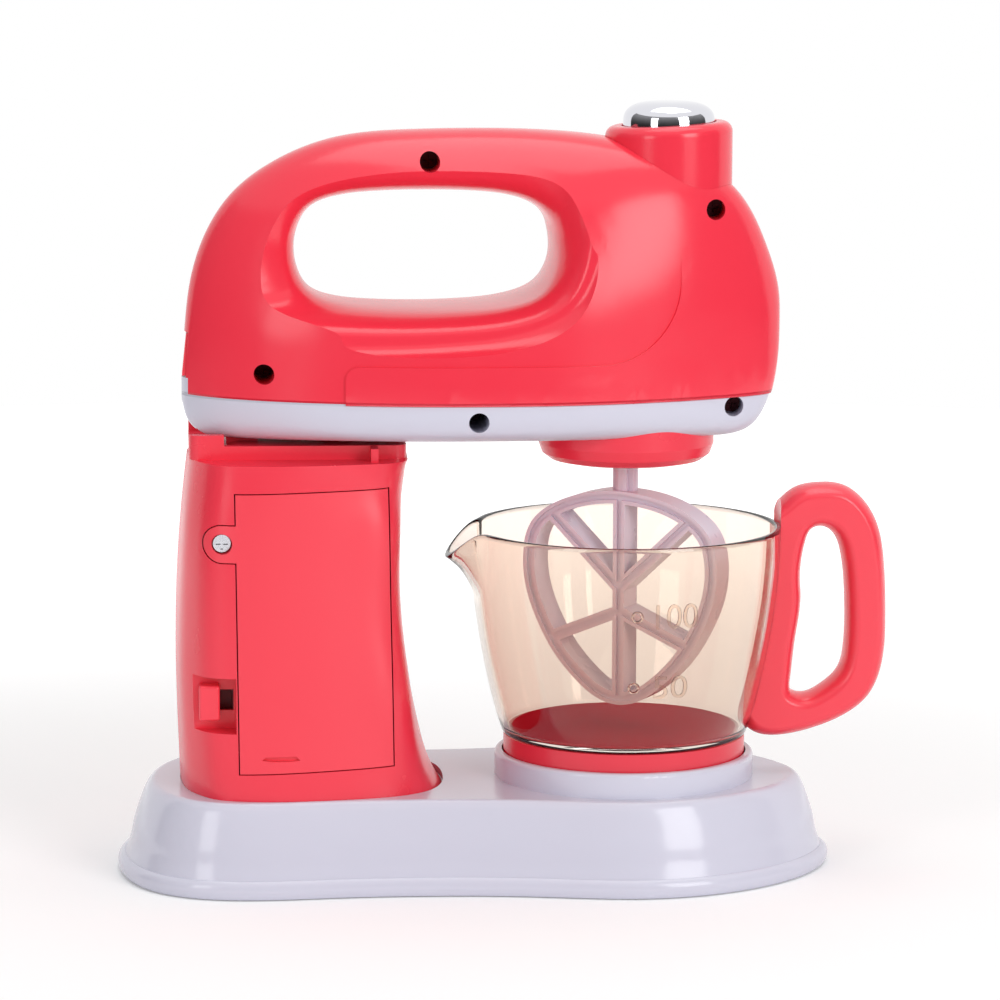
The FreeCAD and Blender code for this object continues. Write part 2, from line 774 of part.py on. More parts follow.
def motor():
    can = rod_z(motor_x, 0, 126.2, 149.0, 10.0).common(box(0, 80, -7.6, 7.6, 120, 160))
    nose = rod_z(motor_x, 0, 124.6, 126.2, 3.0)
    tabs = [box(motor_x - 6.5, motor_x - 6.1, y - 1, y + 1, 149, 152) for y in (-4.0, 4.0)]
    return join([can, nose] + tabs).cut(rod_z(motor_x, 0, 120, 131.0, 1.0 + running_gap))


def spindle_bush():
    tube = rod_z(mix_x, 0, 104.6, 112.4, 5.6)
    return tube.cut(rod_z(mix_x, 0, 100, 120, 4.4 + running_gap))


def nozzle(outside):
    profile = [
        (9.0, 102.5),
        (15.6, 102.5),
        (19.0, 103.2),
        (21.0, 104.7),
        (21.9, 107.2),
        (21.9, 116.0),
        (19.4, 116.0),
        (19.4, 106.4),
        (17.8, 105.0),
        (9.0, 105.0),
    ]
    near = revolved(profile, mix_x, 0).common(box(0, 60, -30, 0, 90, 120)).cut(outside)
    cup = near.fuse(far_of(near))
    hub = [(4.9, 102.5), (9.0, 102.5), (9.0, 112.4), (5.6, 112.4), (5.6, 104.6), (4.9, 104.6)]
    return cup.fuse(revolved(hub, mix_x, 0))


def beater_face(inset):
    shifted = moved_in(mirrored(beater_half), inset)
    return Part.Face(closed_curve([(x, 0, z) for z, x in shifted]))


def bar_face(x0, z0, x1, z1, width):
    length = math.hypot(x1 - x0, z1 - z0)
    across = (-(z1 - z0) / length * width / 2, (x1 - x0) / length * width / 2)
    corners = [
        (x0 + across[0], 0, z0 + across[1]),
        (x1 + across[0], 0, z1 + across[1]),
        (x1 - across[0], 0, z1 - across[1]),
        (x0 - across[0], 0, z0 - across[1]),
    ]
    return Part.Face(polygon(corners))


def beater_network(edge_out, edge_in, width):
    """Rim and bars of the beater as one flat face."""
    bars = [bar_face(0, 40, 0, 96, width)]
    for side in (-1, 1):
        bars.append(bar_face(0, 70.6, side * 22.5, 91.9, width))
        bars.append(bar_face(0, 64.6, side * 23.0, 54.9, width))
    windows = beater_face(edge_in)
    for bar in bars:
        windows = windows.cut(bar)
    return beater_face(edge_out).cut(windows)


def beater():
    half = beater_depth / 2
    channel = 0.9
    frame = beater_network(0.0, 3.2, 3.1).extrude(Vector(0, beater_depth, 0))
    frame.translate(Vector(0, -half, 0))
    track = beater_network(0.9, 2.3, 1.3)
    for y in (-half - 1, half - channel):
        groove = track.extrude(Vector(0, channel + 1, 0))
        groove.translate(Vector(0, y, 0))
        frame = frame.cut(groove)
    stem = box(-1.5, 1.5, -3.1, 3.1, 94.0, 111.0).fuse(box(-3.1, 3.1, -1.5, 1.5, 94.0, 111.0))
    stem = stem.common(rod_z(0, 0, 90, 112, 3.15))
    frame = frame.fuse(stem)
    frame.rotate(Vector(0, 0, 0), Vector(0, 0, 1), beater_turn)
    frame.translate(Vector(mix_x, 0, 0))
    return frame


def spout(inset):
    """Pouring lip: circles that widen and run out of the bowl's wall."""
    levels = (
        (64.0, 0.5, 4.0),
        (68.0, -5.2, 7.5),
        (71.4, -7.2, 11.5),
        (73.8, -8.5, 14.5),
        (76.0, -10.2, 17.0),
        (77.7, -12.4, 18.6),
        (79.0, -13.8, 19.0),
        (90.0, -13.8, 19.0),
    )
    wires = []
    for z, left, r in levels:
        lift = 0.6 * inset
        centre = Vector(left + r, 0, z + lift)
        wires.append(Part.Wire(Part.makeCircle(r - inset, centre, Vector(0, 0, 1))))
    return loft(wires)


def bowl_outside(grow):
    profile = [(r + grow, z) for r, z in bowl_profile]
    floor_z = foot_top - grow * 1.1
    profile[0] = (profile[0][0] - grow * 0.35, floor_z + 1.2)
    side = Part.BSplineCurve()
    side.interpolate([Vector(r, 0, z) for r, z in profile])
    first = profile[0]
    corner = Part.BSplineCurve()
    corner.interpolate(
        [Vector(first[0] - 1.6, 0, floor_z), Vector(first[0] - 0.5, 0, floor_z + 0.35), Vector(first[0], 0, first[1])]
    )
    top = profile[-1]
    high = top[1] + (8.0 if grow < 0 else 0.0)
    edges = [
        Part.makeLine(Vector(0, 0, floor_z), Vector(first[0] - 1.6, 0, floor_z)),
        corner.toShape(),
        side.toShape(),
    ]
    if grow < 0:
        edges.append(Part.makeLine(Vector(top[0], 0, top[1]), Vector(top[0], 0, high)))
    edges.append(Part.makeLine(Vector(top[0], 0, high), Vector(0, 0, high)))
    edges.append(Part.makeLine(Vector(0, 0, high), Vector(0, 0, floor_z)))
    solid = Part.Face(Part.Wire(edges)).revolve(Vector(0, 0, 0), Vector(0, 0, 1), 360)
    solid.translate(Vector(mix_x, 0, 0))
    return solid


def rim_cutter():
    dip = Part.BSplineCurve()
    dip.interpolate([Vector(x, -50, z) for x, z in ((-3.0, rim_z), (-6.2, 85.2), (-8.6, 83.6), (-11.4, 80.9), (-16.0, 76.0))])
    edges = [dip.toShape()]
    corners = [(-16.0, 76.0), (-40.0, 76.0), (-40.0, 100.0), (90.0, 100.0), (90.0, rim_z), (-3.0, rim_z)]
    for (x0, z0), (x1, z1) in zip(corners, corners[1:]):
        edges.append(Part.makeLine(Vector(x0, -50, z0), Vector(x1, -50, z1)))
    return Part.Face(Part.Wire(edges)).extrude(Vector(0, 100, 0))


def bowl(outside):
    body = outside.fuse(spout(0.0)).cut(rim_cutter())
    return body.cut(bowl_outside(-bowl_wall)).cut(spout(1.3))


def bowl_foot():
    foot = rod_z(mix_x, 0, foot_bottom, foot_top, foot_r)
    return foot.cut(rod_z(mix_x, 0, foot_bottom - 1, foot_top - wall, foot_r - wall))


def bowl_handle(bowl_solid):
    half = 6.5
    sections = ((-half, 2.6), (-half + 0.7, 1.1), (-half + 2.4, 0.1), (half - 2.4, 0.1), (half - 0.7, 1.1), (half, 2.6))
    outer = []
    inner = []
    for y, shrink in sections:
        outer.append(closed_curve([(x, y, z) for x, z in moved_in(handle_outer[::-1], shrink)]))
        inner.append(closed_curve([(x, y, z) for x, z in moved_in(handle_inner[::-1], -shrink)]))
    inside_bowl = rod_z(mix_x, 0, rim_z - 2.0, rim_z + 20.0, bowl_profile[-1][0])
    return cut_each(loft(outer), [loft(inner), bowl_solid, inside_bowl])


def build():
    save("base_shell", base_shell())
    save("base_plate", base_plate())
    save("base_screws", base_screws())
    outside = column_outside()
    inside = column_inside()
    near, far = column_shells(outside, inside)
    save("column_shell_near", near)
    save("column_shell_far", far)
    save("column_screws", column_screws())
    save("battery_door", battery_door(outside, inside))
    save("door_screw", door_screw())
    save("battery_tray", battery_tray())
    save("battery_cells", battery_cells())
    save("battery_contacts", battery_contacts())
    save("switch_knob", switch_knob())
    save("slide_switch", slide_switch())
    save("neck_block", neck_block())
    save("hinge_pin", hinge_pin())
    head = head_outside()
    solid, skin = head_skin(head)
    red = red_half(solid, skin)
    white = white_half(solid, skin)
    save("head_shell_near", cut_each(red, screw_bores(head_screws_at, True)))
    save("head_shell_far", cut_each(far_of(red), screw_bores(head_screws_at, False)))
    save("skirt_near", cut_each(white, screw_bores(skirt_screws_at, True)))
    save("skirt_far", cut_each(far_of(white), screw_bores(skirt_screws_at, False)))
    save("head_screws", shell_screws(head_screws_at))
    save("skirt_screws", shell_screws(skirt_screws_at))
    save("button_collar", button_collar())
    save("chrome_button", chrome_button())
    save("button_spring", button_spring())
    save("push_switch", push_switch())
    save("release_button", release_button())
    save("release_guide", release_guide())
    save("release_spring", release_spring())
    save("output_gear", output_gear())
    save("spindle", spindle())
    save("compound_gear", compound_gear())
    save("motor_pinion", motor_pinion())
    save("gear_plate_lower", gear_plate_lower())
    save("gear_plate_upper", gear_plate_upper())
    save("motor", motor())
    save("spindle_bush", spindle_bush())
    save("nozzle", nozzle(head))
    save("beater", beater())
    bowl_solid = bowl_outside(0.0)
    save("bowl", bowl(bowl_solid))
    save("bowl_foot", bowl_foot())
    save("bowl_handle", bowl_handle(bowl_solid))


build()
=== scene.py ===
import bpy
import bmesh
import math
from mathutils import Matrix, Vector
from mathutils.bvhtree import BVHTree
from mathutils.kdtree import KDTree


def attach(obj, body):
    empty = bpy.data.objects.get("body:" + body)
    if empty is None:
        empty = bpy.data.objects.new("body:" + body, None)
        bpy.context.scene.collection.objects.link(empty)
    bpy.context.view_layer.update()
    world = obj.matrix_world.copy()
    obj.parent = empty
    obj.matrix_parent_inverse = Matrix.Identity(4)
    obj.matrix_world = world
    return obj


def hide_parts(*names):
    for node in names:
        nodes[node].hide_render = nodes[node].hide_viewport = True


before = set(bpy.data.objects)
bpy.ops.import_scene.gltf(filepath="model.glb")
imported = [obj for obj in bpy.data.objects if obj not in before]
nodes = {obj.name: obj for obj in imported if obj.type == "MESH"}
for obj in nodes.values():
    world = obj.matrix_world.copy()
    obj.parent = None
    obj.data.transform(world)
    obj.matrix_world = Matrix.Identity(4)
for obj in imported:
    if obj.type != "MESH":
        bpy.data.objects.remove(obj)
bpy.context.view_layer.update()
print("frame loaded:", len(nodes), "nodes")


# Colours are given as they look on a screen, 0 to 255

def fromScreen(red, green, blue):
    linear = []
    for value in (red, green, blue):
        v = value / 255
        linear.append(v / 12.92 if v <= 0.04045 else ((v + 0.055) / 1.055) ** 2.4)
    return (*linear, 1.0)


def addNode(tree, kind, **settings):
    node = tree.nodes.new(kind)
    for key, value in settings.items():
        setattr(node, key, value)
    return node


# An object with its data, linked to the scene
def addObject(name, data):
    piece = bpy.data.objects.new(name, data)
    bpy.context.scene.collection.objects.link(piece)
    return piece


# An object from a finished bmesh, which is freed
def addPiece(name, bm, material):
    mesh = bpy.data.meshes.new(name)
    bm.to_mesh(mesh)
    bm.free()
    mesh.materials.append(material)
    return addObject(name, mesh)


def mathNode(tree, operation, first, second=None, clamp=False):
    node = addNode(tree, "ShaderNodeMath", operation=operation, use_clamp=clamp)
    for socket, value in zip(node.inputs, (first, second)):
        if value is None:
            continue
        if isinstance(value, (int, float)):
            socket.default_value = value
        else:
            tree.links.new(value, socket)
    return node.outputs[0]


def newGroup(name, inputs, outputs):
    group = bpy.data.node_groups.new(name, "ShaderNodeTree")
    for label, kind, value in inputs:
        socket = group.interface.new_socket(label, in_out="INPUT", socket_type=kind)
        if value is not None:
            socket.default_value = value
    for label, kind in outputs:
        group.interface.new_socket(label, in_out="OUTPUT", socket_type=kind)
    start = addNode(group, "NodeGroupInput")
    end = addNode(group, "NodeGroupOutput")
    return group, start, end


def useGroup(tree, group, **values):
    node = addNode(tree, "ShaderNodeGroup", node_tree=group)
    for key, value in values.items():
        socket = node.inputs[key]
        if hasattr(value, "links"):
            tree.links.new(value, socket)
        else:
            socket.default_value = value
    return node


# Moulded plastic: faint flow in the colour, uneven gloss and a very fine skin

skinNoise = {"flow": (21.0, 2.0), "smear": (70.0, 4.0), "skin": (1100.0, 3.0)}  # scale and detail


def objectNoise(tree, place, scale, detail):
    noise = addNode(tree, "ShaderNodeTexNoise")
    noise.inputs["Scale"].default_value = scale
    noise.inputs["Detail"].default_value = detail
    tree.links.new(place.outputs["Object"], noise.inputs["Vector"])
    return noise.outputs["Fac"]


def buildMouldedSkin():
    group, start, end = newGroup(
        "moulded skin",
        [
            ("Colour", "NodeSocketColor", (0.8, 0.8, 0.8, 1.0)),
            ("Flow", "NodeSocketFloat", 0.04),
            ("Gloss", "NodeSocketFloat", 0.3),
            ("Unevenness", "NodeSocketFloat", 0.08),
            ("Skin", "NodeSocketFloat", 0.5),
        ],
        [("Colour", "NodeSocketColor"), ("Roughness", "NodeSocketFloat"), ("Height", "NodeSocketFloat")],
    )
    links = group.links
    place = addNode(group, "ShaderNodeTexCoord")
    flow = objectNoise(group, place, *skinNoise["flow"])
    smear = objectNoise(group, place, *skinNoise["smear"])
    skin = objectNoise(group, place, *skinNoise["skin"])
    shift = mathNode(group, "SUBTRACT", flow, 0.5)
    amount = mathNode(group, "MULTIPLY", shift, start.outputs["Flow"])
    scale = mathNode(group, "ADD", amount, 1.0)
    tinted = addNode(group, "ShaderNodeVectorMath", operation="SCALE")
    links.new(start.outputs["Colour"], tinted.inputs[0])
    links.new(scale, tinted.inputs["Scale"])
    links.new(tinted.outputs[0], end.inputs["Colour"])
    patch = mathNode(group, "SUBTRACT", smear, 0.5)
    spread = mathNode(group, "MULTIPLY", patch, start.outputs["Unevenness"])
    gloss = mathNode(group, "ADD", spread, start.outputs["Gloss"], clamp=True)
    links.new(gloss, end.inputs["Roughness"])
    height = mathNode(group, "MULTIPLY", skin, start.outputs["Skin"])
    links.new(height, end.inputs["Height"])
    return group


# A narrow groove where two mouldings meet, 1 in the groove and 0 away from it
def buildSeam():
    group, start, end = newGroup(
        "seam",
        [
            ("Along", "NodeSocketFloat", 0.0),
            ("Level", "NodeSocketFloat", 0.0),
            ("Width", "NodeSocketFloat", 0.0004),
        ],
        [("Mask", "NodeSocketFloat")],
    )
    offset = mathNode(group, "SUBTRACT", start.outputs["Along"], start.outputs["Level"])
    distance = mathNode(group, "ABSOLUTE", offset)
    share = mathNode(group, "DIVIDE", distance, start.outputs["Width"])
    mask = mathNode(group, "SUBTRACT", 1.0, share, clamp=True)
    group.links.new(mask, end.inputs["Mask"])
    return group


mouldedSkin = buildMouldedSkin()
seam = buildSeam()


def plainMaterial(name):
    material = bpy.data.materials.new(name)
    material.use_nodes = True
    tree = material.node_tree
    return material, tree, tree.nodes["Principled BSDF"]


mouldings = {
    "refraction": 1.5,
    "scatterRadius": (1.0, 0.35, 0.3),
    "scatterScale": 0.002,
    "skinStrength": 0.25,
    "skinDepth": 0.00002,
}


def plastic(name, rgb, gloss=0.3, flow=0.05, unevenness=0.08, skin=0.5, seams=(), scatter=0.0):
    material, tree, shader = plainMaterial(name)
    surface = useGroup(
        tree, mouldedSkin, Colour=fromScreen(*rgb), Flow=flow, Gloss=gloss, Unevenness=unevenness, Skin=skin
    )
    tree.links.new(surface.outputs["Colour"], shader.inputs["Base Color"])
    tree.links.new(surface.outputs["Roughness"], shader.inputs["Roughness"])
    shader.inputs["IOR"].default_value = mouldings["refraction"]
    if scatter:
        shader.inputs["Subsurface Weight"].default_value = scatter
        shader.inputs["Subsurface Radius"].default_value = mouldings["scatterRadius"]
        shader.inputs["Subsurface Scale"].default_value = mouldings["scatterScale"]
    bump = addNode(tree, "ShaderNodeBump")
    bump.inputs["Strength"].default_value = mouldings["skinStrength"]
    bump.inputs["Distance"].default_value = mouldings["skinDepth"]
    tree.links.new(surface.outputs["Height"], bump.inputs["Height"])
    last = bump
    place = addNode(tree, "ShaderNodeTexCoord")
    parts = addNode(tree, "ShaderNodeSeparateXYZ")
    tree.links.new(place.outputs["Object"], parts.inputs[0])
    for axis, level, width in seams:
        groove = useGroup(tree, seam, Along=parts.outputs[axis], Level=level, Width=width)
        dent = addNode(tree, "ShaderNodeBump", invert=True)
        dent.inputs["Strength"].default_value = 1.0
        dent.inputs["Distance"].default_value = width
        tree.links.new(groove.outputs["Mask"], dent.inputs["Height"])
        tree.links.new(last.outputs["Normal"], dent.inputs["Normal"])
        last = dent
    tree.links.new(last.outputs["Normal"], shader.inputs["Normal"])
    return material


metalSmear = {"scale": 160.0, "detail": 2.0, "spread": 0.6, "least": 0.7}


def metal(name, rgb, roughness):
    material, tree, shader = plainMaterial(name)
    shader.inputs["Base Color"].default_value = fromScreen(*rgb)
    shader.inputs["Metallic"].default_value = 1.0
    place = addNode(tree, "ShaderNodeTexCoord")
    smear = objectNoise(tree, place, metalSmear["scale"], metalSmear["detail"])
    spread = mathNode(tree, "MULTIPLY", smear, roughness * metalSmear["spread"])
    uneven = mathNode(tree, "ADD", spread, roughness * metalSmear["least"])
    tree.links.new(uneven, shader.inputs["Roughness"])
    return material


# Shadow and diffuse rays pass straight through with the same tint, so the inside is lit
def clearPlastic(name, rgb, roughness, refraction=1.45):
    material, tree, shader = plainMaterial(name)
    shader.inputs["Base Color"].default_value = fromScreen(*rgb)
    shader.inputs["Transmission Weight"].default_value = 1.0
    shader.inputs["IOR"].default_value = refraction
    shader.inputs["Roughness"].default_value = roughness
    path = addNode(tree, "ShaderNodeLightPath")
    soft = mathNode(tree, "ADD", path.outputs["Is Shadow Ray"], path.outputs["Is Diffuse Ray"], clamp=True)
    through = addNode(tree, "ShaderNodeBsdfTransparent")
    through.inputs["Color"].default_value = fromScreen(*rgb)
    mix = addNode(tree, "ShaderNodeMixShader")
    tree.links.new(soft, mix.inputs[0])
    tree.links.new(shader.outputs[0], mix.inputs[1])
    tree.links.new(through.outputs[0], mix.inputs[2])
    tree.links.new(mix.outputs[0], tree.nodes["Material Output"].inputs["Surface"])
    return material


finishes = {
    "seamHeight": 0.1203,
    "seamWidth": 0.0005,
    "red": (240, 52, 72),
    "redColumn": (238, 52, 72),
    "redDoor": (242, 62, 79),
    "redHandle": (242, 66, 82),
    "redFoot": (226, 52, 70),
    "white": (206, 205, 220),
    # beater: white plastic tinted towards red, a painted reflection of the red parts around it
    "beater": (222, 208, 222),
    "amber": (243, 231, 221),
    "inner": (118, 118, 122),
    "gears": (232, 228, 214),
    "cells": (52, 54, 60),
    # switch: the slide switch seen through the slot, darkened red as painted shade of the recess
    "switch": (120, 22, 36),
    "chrome": (226, 226, 232),
    "steel": (150, 150, 156),
    "doorScrew": (206, 206, 212),
    # screws deep in the wells, darkened as painted shade
    "screwsInPaintedShade": (60, 30, 34),
    "springs": (176, 176, 182),
    "motor": (168, 168, 172),
}
headSeams = [(2, finishes["seamHeight"], finishes["seamWidth"])]  # axis 2 is Z
redHead = plastic("red head", finishes["red"], gloss=0.2, seams=headSeams)
redColumn = plastic("red column", finishes["redColumn"], gloss=0.26)
redDoor = plastic("red door", finishes["redDoor"], gloss=0.34)
redHandle = plastic("red handle", finishes["redHandle"], gloss=0.25, scatter=0.2)
redFoot = plastic("red bowl foot", finishes["redFoot"], gloss=0.25)
whiteSkirt = plastic("white skirt", finishes["white"], gloss=0.3, seams=headSeams)
whiteBase = plastic("white base", finishes["white"], gloss=0.16)
greyInner = plastic("grey inner parts", finishes["inner"], gloss=0.5)
# The beater's red tint is a painted reflection of the red parts
beaterWithPaintedReflection = plastic("white beater with painted red reflection", finishes["beater"], gloss=0.28, scatter=0.15)
gearCream = plastic("cream gears", finishes["gears"], gloss=0.35)
cellSleeve = plastic("cell sleeve", finishes["cells"], gloss=0.3)
chromePlate = metal("chrome plate", finishes["chrome"], roughness=0.06)
steel = metal("plain steel", finishes["steel"], roughness=0.35)
brightSteel = metal("bright screw steel", finishes["doorScrew"], roughness=0.22)
# Steel darkened as painted shade of the deep screw wells
screwSteelInPaintedShade = metal("steel darkened as painted shade in the screw wells", finishes["screwsInPaintedShade"], roughness=0.45)
# The switch body is dark red as painted shade of the recess
switchInPaintedShade = plastic("switch body darkened red as painted shade", finishes["switch"], gloss=0.5)
springSteel = metal("spring steel", finishes["springs"], roughness=0.3)
motorCan = metal("motor can", finishes["motor"], roughness=0.4)
bowlClear = clearPlastic("clear amber bowl", finishes["amber"], roughness=0.02)
print("materials ready")

wears = {
    "base_shell": whiteBase,
    "base_plate": whiteBase,
    "base_screws": steel,
    "column_shell_near": redColumn,
    "column_shell_far": redColumn,
    "column_screws": steel,
    "battery_door": redDoor,
    "door_screw": brightSteel,
    "battery_tray": greyInner,
    "battery_cells": cellSleeve,
    "battery_contacts": springSteel,
    "switch_knob": redDoor,
    "slide_switch": switchInPaintedShade,
    "neck_block": redColumn,
    "hinge_pin": steel,
    "head_shell_near": redHead,
    "head_shell_far": redHead,
    "skirt_near": whiteSkirt,
    "skirt_far": whiteSkirt,
    "head_screws": screwSteelInPaintedShade,
    "skirt_screws": screwSteelInPaintedShade,
    "button_collar": redHead,
    "chrome_button": chromePlate,
    "button_spring": springSteel,
    "push_switch": greyInner,
    "release_button": redColumn,
    "release_guide": greyInner,
    "release_spring": springSteel,
    "output_gear": gearCream,
    "spindle": gearCream,
    "compound_gear": gearCream,
    "motor_pinion": gearCream,
    "gear_plate_lower": greyInner,
    "gear_plate_upper": greyInner,
    "motor": motorCan,
    "spindle_bush": greyInner,
    "nozzle": redColumn,
    "beater": beaterWithPaintedReflection,
    "bowl": bowlClear,
    "bowl_foot": redFoot,
    "bowl_handle": redHandle,
}
for name, material in wears.items():
    mesh = nodes[name].data
    mesh.materials.clear()
    mesh.materials.append(material)
print("nodes painted:", len(wears))


# Raised panel low on the head's sides, which runs up the nose and fades out there

panel = {
    "left": -0.0395,
    "top": 0.1294,
    "right": 0.0426,
    "bend": 0.02,
    "corner": 0.0035,
    "fadeFrom": 0.140,
    "fadeTo": 0.160,
    "end": 0.1575,
    "rise": 0.0005,
    "root": 0.0006,
    "bendSteps": 14,
    "cornerSteps": 4,
    "middle": ((-0.06, 0.04), (0.124, 0.15)),
    "weld": 0.000005,
    "cutWeld": 0.000001,
    "searchReach": 0.05,
    "leastFacing": 0.05,
    "pastEnd": 0.004,
    "crease": 0.6,
}


# A point and a direction for each cut along the panel's outline
def panelCuts():
    centre = Vector((panel["right"] - panel["bend"], 0, panel["top"] + panel["bend"]))
    cuts = []
    for n in range(panel["bendSteps"] + 1):
        angle = math.pi / 2 * n / panel["bendSteps"]
        out = Vector((math.sin(angle), 0, -math.cos(angle)))
        cuts.append((centre + out * panel["bend"], out))
    corner = Vector((panel["left"] + panel["corner"], 0, panel["top"] - panel["corner"]))
    for n in range(panel["cornerSteps"] + 1):
        angle = math.pi / 2 * n / panel["cornerSteps"]
        out = Vector((-math.cos(angle), 0, math.sin(angle)))
        cuts.append((corner + out * panel["corner"], out))
    cuts.append((Vector((0, 0, panel["end"])), Vector((0, 0, 1))))
    return cuts


def isRaised(place):
    x, z = place.x, place.z
    if z > panel["end"] or x < panel["left"]:
        return False
    across = x - (panel["right"] - panel["bend"])
    down = panel["top"] + panel["bend"] - z
    if min(across, down) <= 0:
        beyond = across > panel["bend"] or down > panel["bend"]
    else:
        beyond = math.hypot(across, down) > panel["bend"]
    if not beyond:
        return False
    toLeft = panel["left"] + panel["corner"] - x
    toTop = z - (panel["top"] - panel["corner"])
    return toLeft <= 0 or toTop <= 0 or math.hypot(toLeft, toTop) < panel["corner"]


# Direction from the middle of the head's side to a place
def outward(place):
    (x0, x1), (z0, z1) = panel["middle"]
    return (place - Vector((min(max(place.x, x0), x1), 0, min(max(place.z, z0), z1)))).normalized()


# The shell's visible surface inside the outline, raised, with a rim that goes back into the shell
def buildPanel(shell, name):
    bm = bmesh.new()
    bm.from_mesh(nodes[shell].data)
    bmesh.ops.remove_doubles(bm, verts=bm.verts, dist=panel["weld"])
    tree = BVHTree.FromBMesh(bm)
    hidden = []
    for face in bm.faces:
        middle = face.calc_center_median()
        away = outward(middle)
        hit = tree.ray_cast(middle + away * panel["searchReach"], -away)
        covered = hit[2] != face.index or face.normal.dot(away) < panel["leastFacing"]
        if covered or middle.z > panel["end"] + panel["pastEnd"]:
            hidden.append(face)
    bmesh.ops.delete(bm, geom=hidden, context="FACES")
    for point, out in panelCuts():
        everything = list(bm.verts) + list(bm.edges) + list(bm.faces)
        bmesh.ops.bisect_plane(bm, geom=everything, plane_co=point, plane_no=out, dist=panel["cutWeld"])
    low = [face for face in bm.faces if not isRaised(face.calc_center_median())]
    bmesh.ops.delete(bm, geom=low, context="FACES")
    bm.normal_update()
    moves = {}
    for vert in bm.verts:
        share = (panel["fadeTo"] - vert.co.z) / (panel["fadeTo"] - panel["fadeFrom"])
        share = min(max(share, 0.0), 1.0)
        moves[vert] = vert.normal * panel["rise"] * share * share * (3 - 2 * share)
    rim = [edge for edge in bm.edges if edge.is_boundary]
    roots = {vert: vert.co - vert.normal * panel["root"] for edge in rim for vert in edge.verts}
    for vert, move in moves.items():
        vert.co += move
    made = bmesh.ops.extrude_edge_only(bm, edges=rim)["geom"]
    lowered = [item for item in made if isinstance(item, bmesh.types.BMVert)]
    finder = KDTree(len(roots))
    places = list(roots)
    for n, vert in enumerate(places):
        finder.insert(vert.co, n)
    finder.balance()
    for vert in lowered:
        vert.co = roots[places[finder.find(vert.co)[1]]]
    bmesh.ops.recalc_face_normals(bm, faces=bm.faces)
    for face in bm.faces:
        face.smooth = True
    for edge in bm.edges:
        if len(edge.link_faces) == 2 and edge.calc_face_angle(0.0) > panel["crease"]:
            edge.smooth = False
    piece = addPiece(name, bm, redHead)
    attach(piece, "head")
    print(name, "faces:", len(piece.data.polygons))


buildPanel("head_shell_near", "head_panel_near")
buildPanel("head_shell_far", "head_panel_far")


# The bowl's clear wall with its pouring lip, in place of the plainer node

bowlWall = {
    "axis": 0.0315,
    "side": [  # height and outer radius
        (0.0346, 0.031),
        (0.0395, 0.0326),
        (0.048, 0.0347),
        (0.057, 0.0365),
        (0.067, 0.038),
        (0.077, 0.0388),
        (0.0861, 0.039),
    ],
    "thickness": 0.0014,
    "outerCorner": [  # radius and height, from the axis out
        (0.0, 0.0334),
        (0.014, 0.0334),
        (0.0275, 0.0334),
        (0.0294, 0.0334),
        (0.03, 0.0335),
        (0.0305, 0.03375),
        (0.0308, 0.0341),
    ],
    "innerCorner": [  # radius and height, from the wall in
        (0.03009, 0.03614),
        (0.0299, 0.0357),
        (0.0296, 0.0353),
        (0.0291, 0.03503),
        (0.0285, 0.03494),
        (0.014, 0.03494),
        (0.0, 0.03494),
    ],
    "lipReach": [  # height and how far the lip stands out of the wall
        (0.065, 0.0),
        (0.069, 0.0001),
        (0.071, 0.0006),
        (0.0734, 0.0017),
        (0.0755, 0.0031),
        (0.0775, 0.0052),
        (0.079, 0.0072),
        (0.082, 0.0094),
        (0.0861, 0.0106),
    ],
    "lipHalfAngle": 0.375,
    "lipDip": [  # place along X and the rim's height there
        (-0.016, 0.076),
        (-0.0114, 0.0809),
        (-0.0086, 0.0836),
        (-0.0062, 0.0852),
        (-0.003, 0.0858),
    ],
    "insideLift": 0.0008,
    "middle": 0.062,
    "rimBulge": 0.0003,
    "rimShares": (0.12, 0.3, 0.5, 0.7, 0.88),
    "rimTries": 24,
    "lowRows": 14,
    "highRows": 26,
    "columns": 288,
}


# Smooth curve through the table's points, held level past its ends
def alongTable(table, at):
    if at <= table[0][0]:
        return table[0][1]
    if at >= table[-1][0]:
        return table[-1][1]
    i = max(n for n in range(len(table) - 1) if table[n][0] <= at)
    (x0, y0), (x1, y1) = table[i : i + 2]
    before = table[i - 1] if i else table[0]
    after = table[min(i + 2, len(table) - 1)]
    step = x1 - x0
    slope0 = (y1 - before[1]) / (x1 - before[0]) * step
    slope1 = (after[1] - y0) / (after[0] - x0) * step
    t = (at - x0) / step
    rise = 3 * t * t - 2 * t ** 3
    return y0 + (y1 - y0) * rise + slope0 * (t - 2 * t * t + t ** 3) + slope1 * (t ** 3 - t * t)


def bowlRadius(z):
    return alongTable(bowlWall["side"], z)


# A point of the side wall, at an angle measured from the lip
def wallPoint(angle, z, inset):
    swell = math.cos(math.pi / 2 * min(1, abs(angle) / bowlWall["lipHalfAngle"])) ** 2
    lift = bowlWall["insideLift"] * inset / bowlWall["thickness"]
    radius = bowlRadius(z) - inset + alongTable(bowlWall["lipReach"], z - lift) * swell
    return Vector((bowlWall["axis"] - radius * math.cos(angle), radius * math.sin(angle), z))


# Height at which the wall meets the dip of the rim, found by halving
def rimHeight(angle, inset):
    low, high = bowlWall["middle"], bowlWall["lipDip"][-1][1]
    for _ in range(bowlWall["rimTries"]):
        z = (low + high) / 2
        if z < alongTable(bowlWall["lipDip"], wallPoint(angle, z, inset).x):
            low = z
        else:
            high = z
    return low


